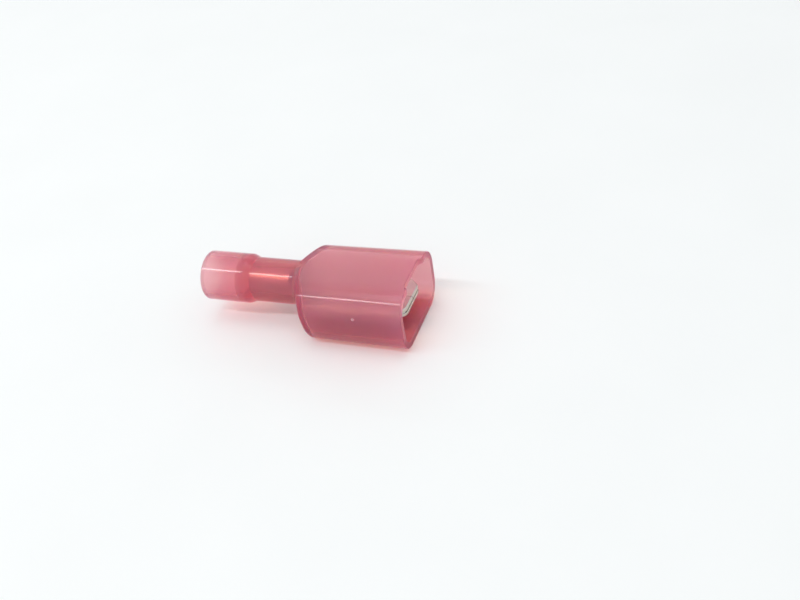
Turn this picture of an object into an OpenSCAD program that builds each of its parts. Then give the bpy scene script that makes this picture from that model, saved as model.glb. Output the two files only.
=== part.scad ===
// Fully insulated male quick-disconnect terminal: a folded 6.35 x 0.8 mm tab
// with a crimp barrel, pressed into a one-piece moulded nylon housing.
// Millimetres. The object lies along X, the mouth of the shroud towards +X,
// and stands on the flat underside of the shroud at z = 0.
// Inside the modules x = 0 is the wire entry and z = 0 the barrel's axis.

/* [Housing] */
// Length of the housing from wire entry to mouth
overall_len = 24; // [23:0.5:30]
// Outer diameter of the wire entry
entry_d = 5.4; // [5.2:0.1:6.4]
// Bore of the wire entry
entry_bore_d = 4.1; // [3.6:0.1:4.4]
// Length of the wire entry at full diameter
entry_len = 5; // [4:0.25:6]
// Length of the outer taper from wire entry to neck
taper_len = 0.75; // [0.5:0.05:1.2]
// Outer diameter of the neck round the crimp barrel
neck_d = 4.8; // [4.5:0.1:5.2]
// Length of the neck from taper to shoulder
neck_len = 5.2; // [4.8:0.1:6]
// Angle between the shoulder's cone and the barrel's axis
shoulder_angle = 59; // [50:1:66]
// Radius of the hollow fillet where the neck meets the shoulder
shoulder_fillet = 0.5; // [0.2:0.05:0.8]
// Wall of the shroud and the shoulder
wall = 0.7; // [0.5:0.05:0.9]
// Width of the shroud
shroud_w = 10.9; // [10.4:0.1:12]
// Height of the shroud's top above the barrel's axis
shroud_up = 2.55; // [2.45:0.05:3.2]
// Depth of the shroud's underside below the barrel's axis
shroud_down = 4.15; // [3.9:0.05:4.8]
// Outer radius of the shroud's long edges
shroud_r = 2.2; // [1.6:0.1:2.3]
// Radius of the cavity's long edges
cavity_r = 1.5; // [1.2:0.1:1.9]
// Width of the shallow recess in the top rim
notch_w = 5.1; // [4.5:0.1:5.6]
// Depth of the recess in the top rim, also the radius of its ends
notch_depth = 0.42; // [0.3:0.02:0.5]
// Rounding of the wire entry's outer edge
entry_edge = 0.2; // [0.1:0.05:0.3]
// Lead-in chamfer inside the wire entry
lead_in = 0.25; // [0.1:0.05:0.4]
// Lip of nylon that covers the barrel's cut end
lip_len = 0.25; // [0.15:0.05:0.4]

/* [Terminal] */
// Thickness of the brass sheet, half of the folded tab
stock = 0.4; // [0.35:0.01:0.45]
// Width of the tab
tab_w = 6.35; // [5.8:0.05:6.6]
// Distance of the tab's tip behind the mouth
tab_recess = 0.8; // [0.4:0.1:1.5]
// Chamfer of the tip's corners
tip_chamfer = 1.05; // [0.6:0.05:1.4]
// Length of the thinned lead-in at the tip
tip_bevel_len = 0.5; // [0.3:0.05:0.8]
// Depth of the thinning on each face of the tip
tip_bevel = 0.12; // [0.05:0.01:0.2]
// Bore of the crimp barrel
crimp_bore_d = 2.1; // [1.7:0.05:2.3]
// Length of the crimp barrel
barrel_len = 4.6; // [4:0.1:5]
// Length over which the barrel's walls run down into the flat blade
trough_len = 1.8; // [1.4:0.1:2.2]
// Number of grip grooves inside the barrel
groove_count = 3; // [1:1:4]
// Width of a grip groove
groove_w = 0.35; // [0.2:0.05:0.4]
// Depth of a grip groove
groove_depth = 0.08; // [0.04:0.01:0.12]
// Gap of the butt seams, along the barrel and down the middle of the tab
seam = 0.06; // [0.04:0.01:0.12]
// Gap between the two layers of the folded tab
layer_gap = 0.03; // [0.02:0.01:0.05]

/* [Fits] */
// Radial clearance of the barrel in the housing
barrel_fit = 0.02; // [0.01:0.01:0.05]
// Clearance of the tab's shoulders from the inside of the housing
shoulder_fit = 0.1; // [0.05:0.01:0.2]

/* [Hidden] */
$fn = 96;
over = 1;                 // how far a cutter runs past the face it cuts
trough_share = 0.6;       // height of the trough's walls at the barrel, as a share of its radius
arc_steps = 8;            // chords in a quarter turn of a turned profile

// housing, derived
entry_r = entry_d / 2;
entry_bore_r = entry_bore_d / 2;
neck_r = neck_d / 2;
taper_end = entry_len + taper_len;
shoulder_x = taper_end + neck_len;
slope = tan(shoulder_angle);
shroud_reach = norm([shroud_w / 2, shroud_down]);
shroud_start = shoulder_x - shoulder_fillet;

// terminal, derived
barrel_r = crimp_bore_d / 2 + stock;
bore_r = barrel_r + barrel_fit;
barrel_x = taper_end - lip_len;
barrel_end = barrel_x + barrel_len;
tab_t = 2 * stock + layer_gap;
tab_bottom = -barrel_r;
tab_tip = overall_len - tab_recess;

// inside of the shoulder: the outer cone moved inwards by the wall
cone_shift = wall / sin(shoulder_angle);
function inner_cone_x(r) = shoulder_x + cone_shift + (r - neck_r) / slope;
// station at which a flat blade of this half width clears the inside of the shoulder
function blade_x(half) = inner_cone_x(norm([half, barrel_r]) + shoulder_fit);
flare_start = blade_x(crimp_bore_d / 2);
flare_end = blade_x(tab_w / 2);

function arc(c, r, from, to) =
    [for (i = [0:arc_steps]) let (a = from + (to - from) * i / arc_steps)
        c + r * [cos(a), sin(a)]];

// local z along the object's X, local x across it and local y upwards
module along_x(x = 0) translate([x, 0, 0]) rotate([90, 0, 90]) children();

// rounded rectangle of the shroud's section, drawn in from its outside
module shroud_section(inset, r) {
    w = shroud_w / 2 - inset;
    up = shroud_up - inset;
    down = shroud_down - inset;
    for (y = [r - w, w - r], z = [r - down, up - r])
        translate([y, z]) circle(r);
    translate([r - w, -down]) square([2 * (w - r), up + down]);
    translate([-w, r - down]) square([2 * w, up + down - 2 * r]);
}

// points are [radius, x]
module turned(points) along_x() rotate_extrude() polygon(points);

// outside of wire entry, taper and neck, with the hollow fillet and the shoulder's cone
module outer_turning() {
    tangent = shoulder_fillet * tan(shoulder_angle / 2);
    turned(concat(
        [[0, 0]],
        arc([entry_r - entry_edge, entry_edge], entry_edge, -90, 0),
        [[entry_r, entry_len], [neck_r, taper_end]],
        arc([neck_r + shoulder_fillet, shoulder_x - tangent], shoulder_fillet,
            180, 180 - shoulder_angle),
        [[shroud_reach, shoulder_x + (shroud_reach - neck_r) / slope],
         [shroud_reach, overall_len],
         [0, overall_len]]));
}

// the shroud's prism, continued over neck and wire entry by a block that clears them
module outer_envelope() {
    along_x(shroud_start) linear_extrude(overall_len - shroud_start)
        shroud_section(0, shroud_r);
    translate([-over, -entry_r - over, -entry_r - over])
        cube([shroud_start + over, entry_d + 2 * over, entry_d + 2 * over]);
}

// wire entry, funnel on to the barrel's bore, seat of the barrel, inside of the shoulder
module inner_turning() {
    funnel_x = entry_len - entry_bore_r + crimp_bore_d / 2;
    turned([
        [0, -over],
        [entry_bore_r + lead_in + over, -over],
        [entry_bore_r, lead_in],
        [entry_bore_r, funnel_x],
        [crimp_bore_d / 2, entry_len],
        [crimp_bore_d / 2, barrel_x],
        [bore_r, barrel_x],
        [bore_r, inner_cone_x(bore_r)],
        [bore_r, overall_len + over],
        [0, overall_len + over]]);
}

module cavity() {
    intersection() {
        turned([
            [0, inner_cone_x(0)],
            [shroud_reach, inner_cone_x(shroud_reach)],
            [shroud_reach, overall_len + over],
            [0, overall_len + over]]);
        along_x(shoulder_x) linear_extrude(overall_len - shoulder_x + over)
            shroud_section(wall, cavity_r);
    }
}

// recess across the middle of the top rim, with quarter-round ends
module rim_notch() {
    flat = notch_w / 2 - notch_depth;
    translate([overall_len - notch_depth, -flat, 0])
        cube([notch_depth + over, 2 * flat, shroud_up + over]);
    for (y = [-flat, flat])
        translate([overall_len, y, 0])
            cylinder(r = notch_depth, h = shroud_up + over);
}

module housing() color([0.75, 0.16, 0.2, 0.6]) difference() {
    intersection() {
        outer_turning();
        outer_envelope();
    }
    inner_turning();
    cavity();
    rim_notch();
}

// rolled barrel with its butt seam on top and grip grooves inside
module barrel() {
    pitch = barrel_len / (groove_count + 1);
    difference() {
        along_x(barrel_x) cylinder(r = barrel_r, h = barrel_len);
        along_x(barrel_x - over) cylinder(r = crimp_bore_d / 2, h = barrel_len + 2 * over);
        for (i = [1:groove_count])
            along_x(barrel_x + i * pitch - groove_w / 2)
                cylinder(r = crimp_bore_d / 2 + groove_depth, h = groove_w);
        translate([barrel_x - over, -seam / 2, 0])
            cube([barrel_len + 2 * over, seam, barrel_r + over]);
    }
}

// half-open trough whose walls run down from the barrel to the blade
module trough() {
    end = barrel_end + trough_len;
    difference() {
        along_x(barrel_end) cylinder(r = barrel_r, h = trough_len);
        along_x(barrel_end - over) cylinder(r = crimp_bore_d / 2, h = trough_len + 2 * over);
        translate([0, barrel_r + over, 0]) rotate([90, 0, 0])
            linear_extrude(2 * (barrel_r + over))
                polygon([
                    [barrel_end, barrel_r * trough_share], [end, tab_bottom + stock],
                    [end + over, tab_bottom + stock], [end + over, barrel_r + over],
                    [barrel_end, barrel_r + over]]);
    }
}

// flat sheet that widens from the trough to the tab, under the folded wings
module flare() {
    half = tab_w / 2 - stock;
    translate([0, 0, tab_bottom]) linear_extrude(stock)
        polygon([
            [flare_start, -crimp_bore_d / 2], [flare_end, -half],
            [flare_end + stock, -half], [flare_end + stock, half],
            [flare_end, half], [flare_start, crimp_bore_d / 2]]);
}

// section of the tab: one sheet folded over from both sides to meet in the middle
module folded_section() {
    half = tab_w / 2 - tab_t / 2;
    difference() {
        union() {
            translate([-half, 0]) square([2 * half, tab_t]);
            for (y = [-half, half]) translate([y, tab_t / 2]) circle(tab_t / 2);
        }
        translate([-half, stock]) square([2 * half, layer_gap]);
        translate([-seam / 2, stock]) square([seam, tab_t]);
    }
}

module tip_bevels() {
    half = tab_w / 2 + over;
    for (top = [0, 1])
        translate([0, half, tab_bottom + top * tab_t]) mirror([0, 0, top])
            rotate([90, 0, 0]) linear_extrude(2 * half)
                polygon([
                    [tab_tip - tip_bevel_len, 0],
                    [tab_tip, tip_bevel],
                    [tab_tip + over, tip_bevel],
                    [tab_tip + over, -over],
                    [tab_tip - tip_bevel_len, -over]]);
}

module tab() {
    difference() {
        intersection() {
            along_x(flare_end) translate([0, tab_bottom, 0])
                linear_extrude(tab_tip - flare_end) folded_section();
            translate([0, 0, tab_bottom - over]) linear_extrude(tab_t + 2 * over)
                polygon([
                    [flare_end, -tab_w / 2], [tab_tip - tip_chamfer, -tab_w / 2],
                    [tab_tip, tip_chamfer - tab_w / 2], [tab_tip, tab_w / 2 - tip_chamfer],
                    [tab_tip - tip_chamfer, tab_w / 2], [flare_end, tab_w / 2]]);
        }
        tip_bevels();
    }
}

module tab_terminal() color([0.78, 0.78, 0.76]) {
    barrel();
    trough();
    flare();
    tab();
}

module placed() translate([-overall_len / 2, 0, shroud_down]) children();

placed() housing();
placed() tab_terminal();
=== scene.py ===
import math

import bpy
import numpy as np
from mathutils import Matrix, Vector


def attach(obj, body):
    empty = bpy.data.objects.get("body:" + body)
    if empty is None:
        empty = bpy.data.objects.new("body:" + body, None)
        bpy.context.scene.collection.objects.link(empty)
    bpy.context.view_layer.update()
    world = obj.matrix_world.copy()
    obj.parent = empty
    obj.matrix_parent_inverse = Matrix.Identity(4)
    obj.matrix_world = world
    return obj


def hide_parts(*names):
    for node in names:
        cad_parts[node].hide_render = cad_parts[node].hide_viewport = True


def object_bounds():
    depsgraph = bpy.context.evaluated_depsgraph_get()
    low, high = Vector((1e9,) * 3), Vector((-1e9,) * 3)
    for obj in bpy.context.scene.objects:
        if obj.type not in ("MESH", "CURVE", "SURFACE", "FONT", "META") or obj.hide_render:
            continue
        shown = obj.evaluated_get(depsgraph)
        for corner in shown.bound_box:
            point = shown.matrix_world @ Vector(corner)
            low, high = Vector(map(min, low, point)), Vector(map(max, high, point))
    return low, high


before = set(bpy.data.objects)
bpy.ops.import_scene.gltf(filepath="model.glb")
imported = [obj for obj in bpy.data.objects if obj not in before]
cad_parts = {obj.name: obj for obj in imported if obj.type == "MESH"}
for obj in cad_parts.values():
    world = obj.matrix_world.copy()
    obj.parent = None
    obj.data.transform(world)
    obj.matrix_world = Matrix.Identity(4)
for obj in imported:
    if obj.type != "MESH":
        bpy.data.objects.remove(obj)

cad_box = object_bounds()
MM = 0.001

# ---------------------------------------------------------------- sizes, in millimetres
# The profile below is written from the wire entry (x = 0) and the barrel's axis (z = 0).
LENGTH = 24.0
ENTRY_R = 2.7
ENTRY_BORE_R = 2.05
ENTRY_LEN = 5.0
TAPER_END = 5.75
NECK_R = 2.4
SHOULDER_X = 10.95
SHOULDER_ANGLE = math.radians(59)
SHOULDER_FILLET = 0.45
WALL = 0.7
SHROUD_HALF = 5.45
SHROUD_UP = 2.55
SHROUD_DOWN = 4.15
SHROUD_R = 2.2
CROWN_START = 2.6       # beyond this the top face bends down a little towards its corners
CROWN_R = 12.0
CROWN_CORNER_R = 2.25
SEAT_X = 5.5            # where the barrel stops against the nylon
SEAT_R = 1.47
THROAT_R = 1.05
FUNNEL_X = 4.0
LEAD_IN = 0.25
CORE_R = 1.5            # long edges of the cavity
NOTCH_W = 5.1
NOTCH_DEPTH = 0.42
DRAFT = 0.011           # the shroud narrows by this much per millimetre away from the mouth
EDGE_ROUND = 0.3        # rounding where the shoulder's cone runs into the shroud's top and sides
LOW_EDGE_ROUND = 0.9    # the same at the bottom corners
LOW_EDGE_REACH = 0.6    # how far round from a bottom corner it is felt, in radians
RIM_ROUND = 0.1
INNER_ROUND = 0.4
ENTRY_ROUND = 0.2

# The tab is one sheet folded over from both sides to meet in the middle.
STOCK = 0.4
BARREL_R = 1.45
TAB_HALF = 3.175
TAB_START = 12.5
TAB_TIP = 23.37
TAB_SKIN = 0.012        # this far outside the plain tab that it covers
TIP_CHAMFER = 1.15
CHAMFER_BLEND = 0.01    # how softly the chamfer runs into the tip and the sides
TIP_BEVEL = 0.07
TIP_BEVEL_LEN = 0.22
CUT_ROUND = 0.05        # rounding of the sheet's cut edges
FOLD_GAP = 0.03         # between the two layers, at the root
FOLD_SPRING = 0.12      # how much further they stand apart at the tip
SEAM_HALF = 0.03

# The gate's mark on the near side wall.
GATE = (18.8, -5.37, 0.15)
GATE_R = 0.17

SLOPE = math.tan(SHOULDER_ANGLE)
NONE_LEFT = 1e-9        # a sine or cosine below this counts as nothing
ORIGIN = Vector((-LENGTH / 2, 0.0, SHROUD_DOWN))


# ---------------------------------------------------------------- the housing's shape
def reach(angle, inset, radius):
    """Distance from the barrel's axis to a rounded section this far inside the shroud's."""
    c, s = math.cos(angle), math.sin(angle)
    half = SHROUD_HALF - inset
    up = SHROUD_UP - inset
    down = SHROUD_DOWN - inset
    corner_y = math.copysign(half - radius, c)
    corner_z = (up - radius) if s > 0 else -(down - radius)
    level = up if s > 0 else down
    if abs(s) > NONE_LEFT:
        t = level / abs(s)
        if abs(t * c) <= half - radius:
            return t
    if abs(c) > NONE_LEFT:
        t = half / abs(c)
        if -(down - radius) <= t * s <= up - radius:
            return t
    return to_arc(c, s, corner_y, corner_z, radius)


def to_arc(c, s, centre_y, centre_z, radius):
    """Distance along this direction to the far side of a circle."""
    along = c * centre_y + s * centre_z
    return along + math.sqrt(along ** 2 - centre_y ** 2 - centre_z ** 2 + radius ** 2)


def skin_reach(angle, inset):
    """The same for the outer skin, whose top is crowned beside its corners."""
    c, s = math.cos(angle), math.sin(angle)
    plain = reach(angle, inset, SHROUD_R - inset)
    if s <= 0 or plain * abs(c) <= CROWN_START:
        return plain
    half, up = SHROUD_HALF - inset, SHROUD_UP - inset
    radius = CROWN_CORNER_R - inset
    bend = (half - radius - CROWN_START) / (CROWN_R - radius)
    join_y = CROWN_START + CROWN_R * bend
    a = c * c / (2 * CROWN_R)
    b = s - CROWN_START * abs(c) / CROWN_R
    t = (math.sqrt(b * b - 4 * a * (CROWN_START ** 2 / (2 * CROWN_R) - up)) - b) / (2 * a)
    if t * abs(c) <= join_y:
        return t
    centre_z = up - CROWN_R * bend * bend / 2 - radius * math.cos(bend)
    if plain * s <= centre_z:
        return plain
    return to_arc(c, s, math.copysign(half - radius, c), centre_z, radius)


def section_angles():
    """Directions round the axis: close together on the rounded corners, even on the flats."""
    flat_half = SHROUD_HALF - SHROUD_R
    high, low = SHROUD_UP - SHROUD_R, SHROUD_R - SHROUD_DOWN
    corners = [
        (flat_half, high, 0.0),
        (-flat_half, high, 90.0),
        (-flat_half, low, 180.0),
        (flat_half, low, 270.0),
    ]
    # the flats are the top, the near side, the underside and the far side; the top's steps
    # are fine enough for the recess in its rim
    per_corner, per_flat = 22, (96, 14, 36, 14)
    angles = []
    for (y, z, start), flat_steps in zip(corners, per_flat):
        for i in range(per_corner + 1):
            a = math.radians(start + 90 * i / per_corner)
            angles.append(math.atan2(z + SHROUD_R * math.sin(a), y + SHROUD_R * math.cos(a)))
        angles.extend([None] * flat_steps)
    return fill_between(angles)


def fill_between(angles):
    """Replaces each run of None by even steps between the angles on its two sides."""
    count = len(angles)
    turned = [a if a is None else a % (2 * math.pi) for a in angles]
    filled = list(turned)
    i = 0
    while i < count:
        if filled[i] is not None:
            i += 1
            continue
        end = i
        while end < count and filled[end] is None:
            end += 1
        before = filled[i - 1]
        after = turned[end % count]
        if after < before:
            after += 2 * math.pi
        for k in range(i, end):
            filled[k] = before + (after - before) * (k - i + 1) / (end - i + 1)
        i = end
    return filled


def fillet(before, corner, after, radius, steps):
    """Arc that rounds the corner of a profile; points are (x, r)."""
    most = 0.45         # share of each side that the rounding may take
    corner = np.array(corner, float)
    a = np.array(before, float) - corner
    b = np.array(after, float) - corner
    length_a, length_b = np.linalg.norm(a), np.linalg.norm(b)
    a /= length_a
    b /= length_b
    half = math.acos(max(-1.0, min(1.0, float(a @ b)))) / 2
    back = min(radius / math.tan(half), most * length_a, most * length_b)
    radius = back * math.tan(half)
    middle = (a + b) / np.linalg.norm(a + b)
    centre = corner + middle * (radius / math.sin(half))
    start = corner + a * back - centre
    end = corner + b * back - centre
    turn = math.pi - 2 * half
    points = []
    for i in range(steps + 1):
        t = i / steps
        w0 = math.sin((1 - t) * turn) / math.sin(turn)
        w1 = math.sin(t * turn) / math.sin(turn)
        points.append(tuple(centre + w0 * start + w1 * end))
    return points


def along(start, end, steps):
    """Points strictly between start and end, evenly spaced."""
    return [
        tuple(np.array(start) + (np.array(end) - np.array(start)) * i / steps)
        for i in range(1, steps)
    ]


def rim_x(angle, radius):
    """Station of the mouth's rim: the end plane, less the shallow recess in the top wall."""
    y, z = radius * math.cos(angle), radius * math.sin(angle)
    past_flat = abs(y) - (NOTCH_W / 2 - NOTCH_DEPTH)
    if z <= 0 or past_flat >= NOTCH_DEPTH:
        return LENGTH
    if past_flat <= 0:
        return LENGTH - NOTCH_DEPTH
    return LENGTH - math.sqrt(NOTCH_DEPTH ** 2 - past_flat ** 2)


def edge_round(angle):
    """Rounding between shoulder and shroud, largest at the two bottom corners."""
    corner = math.atan2(SHROUD_DOWN - SHROUD_R / 2, SHROUD_HALF - SHROUD_R / 2)
    away = min(abs(angle - (math.pi + corner)), abs(angle - (2 * math.pi - corner)))
    share = max(0.0, 1 - away / LOW_EDGE_REACH)
    return EDGE_ROUND + (LOW_EDGE_ROUND - EDGE_ROUND) * share * share * (3 - 2 * share)


def profile(angle):
    """Closed profile of the housing in the half plane at this angle, as (x, r) points.

    With it come the spans of its points on the two rims, and the span on the inside.
    """
    outer_mouth = skin_reach(angle, 0.0)
    inner_mouth = reach(angle, WALL, CORE_R)
    outer_rim = rim_x(angle, outer_mouth)
    inner_rim = rim_x(angle, inner_mouth)
    narrowing = DRAFT * (LENGTH - SHOULDER_X)
    outer_back = skin_reach(angle, narrowing)
    # where the drafted wall meets the shoulder's cone, outside and then inside
    growth = (outer_mouth - outer_back) / (LENGTH - SHOULDER_X)
    meet = SHOULDER_X + (outer_back - NECK_R) / (SLOPE - growth)
    meet_r = NECK_R + (meet - SHOULDER_X) * SLOPE
    inner_shift = SHOULDER_X + WALL / math.sin(SHOULDER_ANGLE)
    inner_meet = inner_shift + (inner_mouth - NECK_R) / SLOPE
    seat_end = inner_shift + (SEAT_R - NECK_R) / SLOPE

    # corner (x, r), its rounding and the steps of its arc: from the entry's end along the
    # outside to the mouth, and back along the inside
    corners = [
        ((0.0, ENTRY_BORE_R + LEAD_IN), 0.05, 2),
        ((0.0, ENTRY_R), ENTRY_ROUND, 7),
        ((ENTRY_LEN, ENTRY_R), 0.25, 3),
        ((TAPER_END, NECK_R), 0.25, 3),
        ((SHOULDER_X, NECK_R), SHOULDER_FILLET, 8),
        ((meet, meet_r), edge_round(angle), 9),
        ((outer_rim, outer_mouth), RIM_ROUND, 5),
        ((inner_rim, inner_mouth), RIM_ROUND, 5),
        ((inner_meet, inner_mouth), INNER_ROUND, 6),
        ((seat_end, SEAT_R), 0.15, 4),
        ((SEAT_X, SEAT_R), 0.03, 2),
        ((SEAT_X, THROAT_R), 0.05, 2),
        ((ENTRY_LEN, THROAT_R), 0.1, 2),
        ((FUNNEL_X, ENTRY_BORE_R), 0.2, 3),
        ((LEAD_IN, ENTRY_BORE_R), 0.05, 2),
    ]
    # steps from each corner's arc to the next one's
    spans = [1, 6, 2, 6, 4, 12, 4, 12, 5, 5, 1, 1, 2, 4, 1]
    mouth_corner = 6
    entry_rim = (0, 4)
    arcs = []
    count = len(corners)
    for i, (corner, radius, steps) in enumerate(corners):
        before = corners[i - 1][0]
        after = corners[(i + 1) % count][0]
        arcs.append(fillet(before, corner, after, radius, steps))
    loop = []
    for i in range(count):
        loop.extend(arcs[i])
        between = along(arcs[i][-1], arcs[(i + 1) % count][0], spans[i])
        if i == mouth_corner:
            mouth_rim = (len(loop) - 2, len(loop) + len(between) + 2)
            between = [(rim_x(angle, r), r) for x, r in between]
        loop.extend(between)
    return loop, [mouth_rim, entry_rim], (mouth_rim[1], len(loop))


def tube_mesh(name, rings, joined=True):
    """Closed surface through equal rings of points; its two ends are joined or capped."""
    rows, columns = len(rings), len(rings[0])
    vertices = [point for ring in rings for point in ring]
    faces = []
    if not joined:
        faces.append(tuple(reversed(range(columns))))
        faces.append(tuple((rows - 1) * columns + j for j in range(columns)))
    for i in range(rows if joined else rows - 1):
        for j in range(columns):
            a = i * columns + j
            b = i * columns + (j + 1) % columns
            c = ((i + 1) % rows) * columns + (j + 1) % columns
            d = ((i + 1) % rows) * columns + j
            faces.append((a, b, c, d))
    mesh = bpy.data.meshes.new(name)
    mesh.from_pydata(vertices, [], faces)
    mesh.validate()
    return mesh


def outward(mesh):
    """Turns the faces of a closed mesh outwards."""
    volume = 0.0
    for polygon in mesh.polygons:
        corners = [mesh.vertices[v].co for v in polygon.vertices]
        for i in range(1, len(corners) - 1):
            volume += corners[0].dot(corners[i].cross(corners[i + 1]))
    if volume < 0:
        mesh.flip_normals()
    mesh.update()


def lay_normals(mesh):
    """Smooth normals weighted by area, so that flats stay flat beside their roundings."""
    normals = np.zeros((len(mesh.vertices), 3))
    for polygon in mesh.polygons:
        weighted = np.array(polygon.normal) * polygon.area
        for v in polygon.vertices:
            normals[v] += weighted
    lengths = np.linalg.norm(normals, axis=1, keepdims=True)
    normals /= np.maximum(lengths, 1e-20)
    mesh.shade_smooth()
    mesh.normals_split_custom_set_from_vertices(normals.tolist())


def add_object(name, mesh):
    piece = bpy.data.objects.new(name, mesh)
    bpy.context.scene.collection.objects.link(piece)
    return piece


def mark(mesh, name, columns, spans):
    """Stores 1 on the points of these spans of every ring, and 0 on the others."""
    layer = mesh.attributes.new(name, "FLOAT", "POINT")
    marked = np.zeros(columns, np.float32)
    for first, last in spans:
        marked[first:last] = 1
    layer.data.foreach_set("value", np.tile(marked, len(mesh.vertices) // columns))


def build_housing():
    rings = []
    for angle in section_angles():
        ring = []
        points, rims, inside = profile(angle)
        for x, r in points:
            local = Vector((x, r * math.cos(angle), r * math.sin(angle)))
            ring.append(tuple((local + ORIGIN) * MM))
        rings.append(ring)
    mesh = tube_mesh("housing_skin", rings)
    mark(mesh, "rim", len(rings[0]), rims)
    mark(mesh, "inside", len(rings[0]), [inside])
    outward(mesh)
    lay_normals(mesh)
    return add_object("housing_skin", mesh)


def build_gate():
    """Stub that the gate leaves: a low disc with a torn, hollow middle."""
    steps = 24
    rings = []
    for i in range(steps):
        a = 2 * math.pi * i / steps
        torn = 0.02 * math.sin(3 * a + 1) + 0.012 * math.sin(7 * a)
        # (share of the radius, height), from the middle out and back underneath
        shape = [(0.02, 0.05), (0.3, 0.0), (0.62, 0.02 + torn), (0.9, 0.045 + torn),
                 (1.0, 0.01), (1.0, -0.03), (0.5, -0.04), (0.02, -0.04)]
        ring = []
        for share, out in shape:
            wide = share * GATE_R * (1 + 2 * torn)
            local = Vector(GATE) + Vector((wide * math.cos(a), -out, wide * math.sin(a)))
            ring.append(tuple((local + ORIGIN) * MM))
        rings.append(ring)
    mesh = tube_mesh("gate_mark", rings)
    outward(mesh)
    lay_normals(mesh)
    return add_object("gate_mark", mesh)


# ---------------------------------------------------------------- the tab's shape
def fold_path():
    """Samples along the folded sheet, from seam edge to seam edge: (part, place, cut)."""
    flat = TAB_HALF - STOCK - (FOLD_GAP + FOLD_SPRING) / 2
    cut_steps, wing_steps, fold_steps = 4, 14, 12
    wing = []
    for i in range(cut_steps + 1):
        a = math.pi / 2 * (1 - i / cut_steps)
        wing.append((SEAM_HALF + CUT_ROUND * (1 - math.sin(a)), CUT_ROUND * (1 - math.cos(a))))
    start = wing[-1][0]
    wing += [(start + (flat - start) * i / wing_steps, 0.0) for i in range(1, wing_steps)]
    fold = [math.pi / 2 - math.pi * i / fold_steps for i in range(fold_steps + 1)]
    path = [("top", y, cut) for y, cut in wing]
    path += [("right", a, 0.0) for a in fold]
    path += [("bottom", flat - flat * i / wing_steps, 0.0) for i in range(1, 2 * wing_steps)]
    path += [("left", a, 0.0) for a in reversed(fold)]
    path += [("top", -y, cut) for y, cut in reversed(wing)]
    return path


def on_sheet(part, place, depth, gap):
    """Point (y, z) of the folded section, this deep below the sheet's outer face."""
    half_thick = STOCK + gap / 2
    middle = half_thick - BARREL_R
    out = half_thick + TAB_SKIN - depth
    if part == "top":
        return place, middle + out
    if part == "bottom":
        return place, middle - out
    side = 1 if part == "right" else -1
    y = TAB_HALF - half_thick + out * math.cos(place)
    return side * y, middle + out * math.sin(place)


def tab_end(y):
    """End of the tab at this distance from its middle, with its corners cut at 45 degrees."""
    past = abs(y) - (TAB_HALF - TIP_CHAMFER)
    return TAB_TIP - (past + math.sqrt(past * past + CHAMFER_BLEND)) / 2


def sheet_way():
    """Way out along the sheet's outer face, over its end and back: (share, back, depth)."""
    deep = STOCK + TAB_SKIN
    out_steps, bevel_steps, cut_steps, back_steps = 16, 4, 5, 12
    quarter = [math.pi / 2 * i / cut_steps for i in range(cut_steps + 1)]
    way = [(i / out_steps, TIP_BEVEL_LEN, 0.0) for i in range(out_steps)]
    for i in range(bevel_steps):
        done = i / bevel_steps
        way.append((1, TIP_BEVEL_LEN * (1 - done), TIP_BEVEL * done ** 1.5))
    first_cut = len(way)
    for a in quarter:
        way.append((1, CUT_ROUND * (1 - math.sin(a)), TIP_BEVEL + CUT_ROUND * (1 - math.cos(a))))
    for a in reversed(quarter):
        way.append((1, CUT_ROUND * (1 - math.sin(a)), deep - CUT_ROUND * (1 - math.cos(a))))
    last_cut = len(way)
    way += [(1 - i / back_steps, TIP_BEVEL_LEN, deep) for i in range(back_steps + 1)]
    return way, (first_cut, last_cut)


def build_tab():
    """The folded sheet in full, laid over the plain tab; its layers part towards the tip."""
    way, cut_span = sheet_way()
    rings = []
    for part, place, cut in fold_path():
        ring = []
        for share, back, depth in way:
            depth = min(max(depth, cut), STOCK + TAB_SKIN - cut)
            gap = FOLD_GAP + FOLD_SPRING * share ** 4
            y, z = on_sheet(part, place, depth, gap)
            x = TAB_START + (tab_end(y) - back - TAB_START) * share
            ring.append(tuple((Vector((x, y, z)) + ORIGIN) * MM))
        rings.append(ring)
    mesh = tube_mesh("tab_sheet", rings, joined=False)
    mark(mesh, "cut", len(rings[0]), [cut_span])
    outward(mesh)
    lay_normals(mesh)
    return add_object("tab_sheet", mesh)


# ---------------------------------------------------------------- materials
def new_material(name):
    """Material with its nodes, links and one Principled shader, not yet joined up."""
    material = bpy.data.materials.new(name)
    material.use_nodes = True
    nodes = material.node_tree.nodes
    nodes.clear()
    return material, nodes, material.node_tree.links, nodes.new("ShaderNodeBsdfPrincipled")


def put_out(nodes, links, surface, volume=None):
    out = nodes.new("ShaderNodeOutputMaterial")
    links.new(surface, out.inputs["Surface"])
    if volume:
        links.new(volume, out.inputs["Volume"])


def stretched_noise(nodes, links, scale, stretch, detail):
    """Noise in object space, drawn out along X by the stretch."""
    place = nodes.new("ShaderNodeTexCoord")
    squeeze = nodes.new("ShaderNodeMapping")
    squeeze.inputs["Scale"].default_value = (1 / stretch, 1, 1)
    noise = nodes.new("ShaderNodeTexNoise")
    noise.inputs["Scale"].default_value = scale
    noise.inputs["Detail"].default_value = detail
    links.new(place.outputs["Object"], squeeze.inputs["Vector"])
    links.new(squeeze.outputs["Vector"], noise.inputs["Vector"])
    return noise.outputs["Fac"]


def graded(nodes, links, source, low, high, start, end):
    """Source from start to end, as a value from low to high."""
    ramp = nodes.new("ShaderNodeMapRange")
    ramp.inputs["From Min"].default_value = low
    ramp.inputs["From Max"].default_value = high
    ramp.inputs["To Min"].default_value = start
    ramp.inputs["To Max"].default_value = end
    links.new(source, ramp.inputs["Value"])
    return ramp.outputs["Result"]


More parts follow.
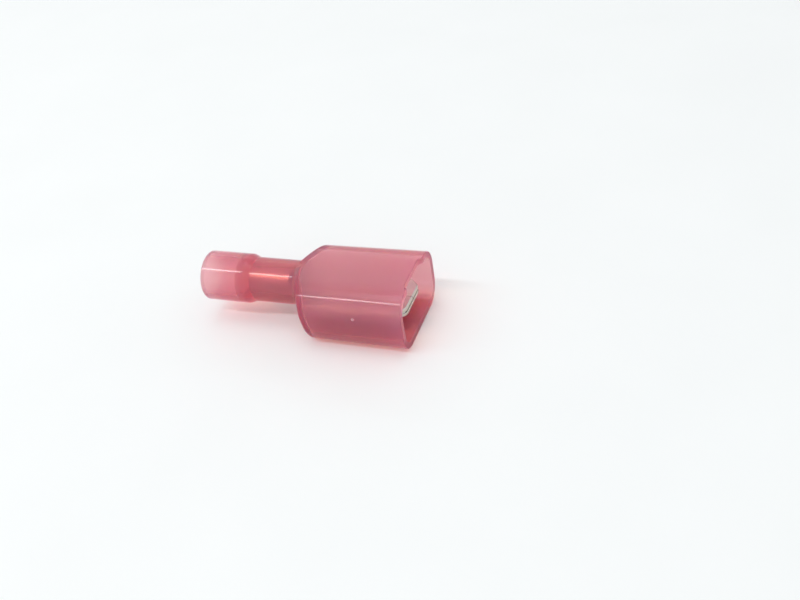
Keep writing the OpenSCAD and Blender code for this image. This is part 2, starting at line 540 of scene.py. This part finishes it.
def two_tints(nodes, links, source, low, high, first, second):
    """Mottling from the first tint to the second, as the source goes from low to high."""
    mix = nodes.new("ShaderNodeMix")
    mix.data_type = "RGBA"
    mix.inputs["A"].default_value = (*first, 1)
    mix.inputs["B"].default_value = (*second, 1)
    links.new(graded(nodes, links, source, low, high, 0, 1), mix.inputs["Factor"])
    return mix.outputs["Result"]


def blended(nodes, links, name, source, there):
    """The source, but this number or tint where the mesh is marked with the name."""
    where = nodes.new("ShaderNodeAttribute")
    where.attribute_name = name
    mix = nodes.new("ShaderNodeMix")
    if isinstance(there, tuple):
        mix.data_type = "RGBA"
        there = (*there, 1)
    mix.inputs["B"].default_value = there
    links.new(where.outputs["Fac"], mix.inputs["Factor"])
    links.new(source, mix.inputs["A"])
    return mix.outputs["Result"]


def roughen(nodes, links, shader, height, strength, distance):
    """Fine relief on the surface, this many metres deep at full height."""
    bump = nodes.new("ShaderNodeBump")
    bump.inputs["Strength"].default_value = strength
    bump.inputs["Distance"].default_value = distance
    links.new(height, bump.inputs["Height"])
    links.new(bump.outputs["Normal"], shader.inputs["Normal"])


def nylon_material():
    """Clear red nylon, a little milky, with flow lines along the moulding and matt rims."""
    material, nodes, links, shader = new_material("red_nylon")
    shader.inputs["Transmission Weight"].default_value = 0.98
    shader.inputs["IOR"].default_value = 1.5

    flow = stretched_noise(nodes, links, 500, 9, 3)
    clear = two_tints(nodes, links, flow, 0.3, 0.7, (0.95, 0.72, 0.83), (0.97, 0.78, 0.88))
    links.new(blended(nodes, links, "rim", clear, (0.94, 0.86, 0.88)), shader.inputs["Base Color"])

    cloudy = stretched_noise(nodes, links, 700, 3, 3)
    polished = graded(nodes, links, cloudy, 0.3, 0.7, 0.10, 0.16)
    moulded = blended(nodes, links, "inside", polished, 0.55)
    links.new(blended(nodes, links, "rim", moulded, 0.45), shader.inputs["Roughness"])
    roughen(nodes, links, shader, stretched_noise(nodes, links, 1200, 4, 4), 0.15, 0.000008)

    # lamps reach what the nylon holds, as they do through the real one
    lets_through = nodes.new("ShaderNodeBsdfTransparent")
    lets_through.inputs["Color"].default_value = (0.94, 0.86, 0.87, 1)
    path = nodes.new("ShaderNodeLightPath")
    choose = nodes.new("ShaderNodeMixShader")
    links.new(path.outputs["Is Shadow Ray"], choose.inputs["Fac"])
    links.new(shader.outputs["BSDF"], choose.inputs[1])
    links.new(lets_through.outputs["BSDF"], choose.inputs[2])

    # the red is in the depth, and so is the bluish haze that turns thick edges mauve
    depth = nodes.new("ShaderNodeVolumeAbsorption")
    depth.inputs["Color"].default_value = (0.97, 0.09, 0.20, 1)
    depth.inputs["Density"].default_value = 640
    haze = nodes.new("ShaderNodeVolumeScatter")
    haze.inputs["Color"].default_value = (0.62, 0.37, 1.0, 1)
    haze.inputs["Density"].default_value = 1100
    haze.inputs["Anisotropy"].default_value = 0.8
    body = nodes.new("ShaderNodeAddShader")
    links.new(depth.outputs["Volume"], body.inputs[0])
    links.new(haze.outputs["Volume"], body.inputs[1])
    put_out(nodes, links, choose.outputs["Shader"], body.outputs["Shader"])
    return material


def tin_material():
    """Bright tin plating on rolled brass: fine lines along the strip, brassy where it is cut."""
    material, nodes, links, shader = new_material("tin_plating")
    shader.inputs["Metallic"].default_value = 1.0
    patches = stretched_noise(nodes, links, 700, 2, 4)
    tint = two_tints(nodes, links, patches, 0.35, 0.65, (0.54, 0.55, 0.53), (0.62, 0.63, 0.61))
    links.new(blended(nodes, links, "cut", tint, (0.56, 0.50, 0.44)), shader.inputs["Base Color"])
    lines = stretched_noise(nodes, links, 9000, 40, 4)
    links.new(graded(nodes, links, lines, 0.3, 0.7, 0.12, 0.24), shader.inputs["Roughness"])
    roughen(nodes, links, shader, lines, 0.3, 0.00001)
    put_out(nodes, links, shader.outputs["BSDF"])
    return material


def mottled_material(name, scale, low, high, first, second, roughness):
    """Plain matt surface, mottled between two tints."""
    material, nodes, links, shader = new_material(name)
    mottle = stretched_noise(nodes, links, scale, 1, 3)
    tint = two_tints(nodes, links, mottle, low, high, first, second)
    links.new(tint, shader.inputs["Base Color"])
    shader.inputs["Roughness"].default_value = roughness
    put_out(nodes, links, shader.outputs["BSDF"])
    return material


def frosted_material():
    """Torn nylon of the gate's mark: pale and matt."""
    return mottled_material("torn_nylon", 9000, 0.35, 0.65,
                            (0.70, 0.30, 0.37), (0.88, 0.62, 0.66), 0.5)


def floor_material():
    """Pale table top."""
    return mottled_material("pale_table", 60, 0.3, 0.7,
                            (0.9269, 0.9484, 0.9484), (0.9430, 0.9645, 0.9645), 0.6)


# ---------------------------------------------------------------- floor, light and camera
def build_floor(material):
    """Wide table top, a hair under the object so that the two never share a plane."""
    half, below = 1.5, 0.00002
    mesh = bpy.data.meshes.new("table")
    mesh.from_pydata([(-half, -half, 0), (half, -half, 0), (half, half, 0), (-half, half, 0)],
                     [], [(0, 1, 2, 3)])
    mesh.materials.append(material)
    floor = add_object("table", mesh)
    floor.location.z = cad_box[0].z - below


def build_world():
    """Even white surroundings: full white where they are seen, dimmer as a light."""
    world = bpy.data.worlds.new("studio")
    bpy.context.scene.world = world
    world.use_nodes = True
    nodes, links = world.node_tree.nodes, world.node_tree.links
    nodes.clear()
    path = nodes.new("ShaderNodeLightPath")
    seen = path.outputs["Is Camera Ray"]
    for name in ("Is Glossy Ray", "Is Transmission Ray"):
        either = nodes.new("ShaderNodeMath")
        either.operation = "MAXIMUM"
        links.new(seen, either.inputs[0])
        links.new(path.outputs[name], either.inputs[1])
        seen = either.outputs["Value"]
    light = nodes.new("ShaderNodeBackground")
    light.inputs["Color"].default_value = (0.98, 0.99, 1.0, 1)
    light.inputs["Strength"].default_value = 0.71
    backdrop = nodes.new("ShaderNodeBackground")
    backdrop.inputs["Color"].default_value = (0.97, 1.0, 1.0, 1)
    backdrop.inputs["Strength"].default_value = 1.0
    mix = nodes.new("ShaderNodeMixShader")
    links.new(seen, mix.inputs["Fac"])
    links.new(light.outputs["Background"], mix.inputs[1])
    links.new(backdrop.outputs["Background"], mix.inputs[2])
    out = nodes.new("ShaderNodeOutputWorld")
    links.new(mix.outputs["Shader"], out.inputs["Surface"])


def add_lamp(name, direction, distance, length, width, power, colour):
    """Strip lamp, long along X, that faces the object from this direction."""
    lamp = bpy.data.lights.new(name, "AREA")
    lamp.shape = "RECTANGLE"
    lamp.size = length
    lamp.size_y = width
    lamp.energy = power
    lamp.color = colour
    holder = bpy.data.objects.new(name, lamp)
    bpy.context.scene.collection.objects.link(holder)
    away = Vector(direction).normalized()
    across = Vector((1, 0, 0)) - away * away.x
    across.normalize()
    up = away.cross(across)
    turn = Matrix((across, up, away)).transposed().to_4x4()
    centre = (cad_box[0] + cad_box[1]) / 2
    holder.matrix_world = Matrix.Translation(centre + away * distance) @ turn


def build_lamps():
    """Name, direction, distance, length and width in metres, power in watts, colour."""
    add_lamp("key_strip", (-0.42, -0.42, 0.80), 0.5, 0.5, 0.03, 0.7, (1.0, 0.99, 0.97))
    add_lamp("top_box", (-0.1, 0.05, 0.99), 0.6, 0.35, 0.3, 0.40, (0.97, 0.99, 1.0))
    add_lamp("far_strip", (-0.37, 0.765, 0.525), 0.5, 0.6, 0.025, 0.10, (1.0, 1.0, 1.0))


def build_camera():
    """Camera of the reference view: from above the near side, rolled a little."""
    azimuth, elevation, roll = math.radians(-24.05), math.radians(36.75), math.radians(-9.65)
    place = Vector((43.007, -74.163, 63.648)) * MM
    forward = Vector((
        math.sin(azimuth) * math.cos(elevation),
        math.cos(azimuth) * math.cos(elevation),
        -math.sin(elevation),
    ))
    level = forward.cross(Vector((0, 0, 1))).normalized()
    above = level.cross(forward)
    right = level * math.cos(roll) + above * math.sin(roll)
    up = above * math.cos(roll) - level * math.sin(roll)
    lens = bpy.data.cameras.new("view")
    lens.sensor_width = 36
    lens.lens = 43.765
    lens.clip_start = 0.005
    lens.clip_end = 10
    holder = bpy.data.objects.new("view", lens)
    bpy.context.scene.collection.objects.link(holder)
    turn = Matrix((right, up, -forward)).transposed().to_4x4()
    holder.matrix_world = Matrix.Translation(place) @ turn
    bpy.context.scene.camera = holder


# ---------------------------------------------------------------- put together
def dress(piece, material):
    """Gives the piece this material and no other."""
    piece.data.materials.clear()
    piece.data.materials.append(material)


housing = build_housing()
dress(housing, nylon_material())
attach(housing, "root")
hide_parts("housing")

gate = build_gate()
dress(gate, frosted_material())
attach(gate, "root")

tin = tin_material()
tab = build_tab()
dress(tab, tin)
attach(tab, "root")
dress(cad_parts["tab_terminal"], tin)

build_floor(floor_material())
build_world()
build_lamps()
build_camera()
cycles = bpy.context.scene.cycles
cycles.max_bounces = 24
cycles.glossy_bounces = 16
cycles.transmission_bounces = 24
cycles.volume_bounces = 8
bpy.context.scene.view_settings.view_transform = "Standard"
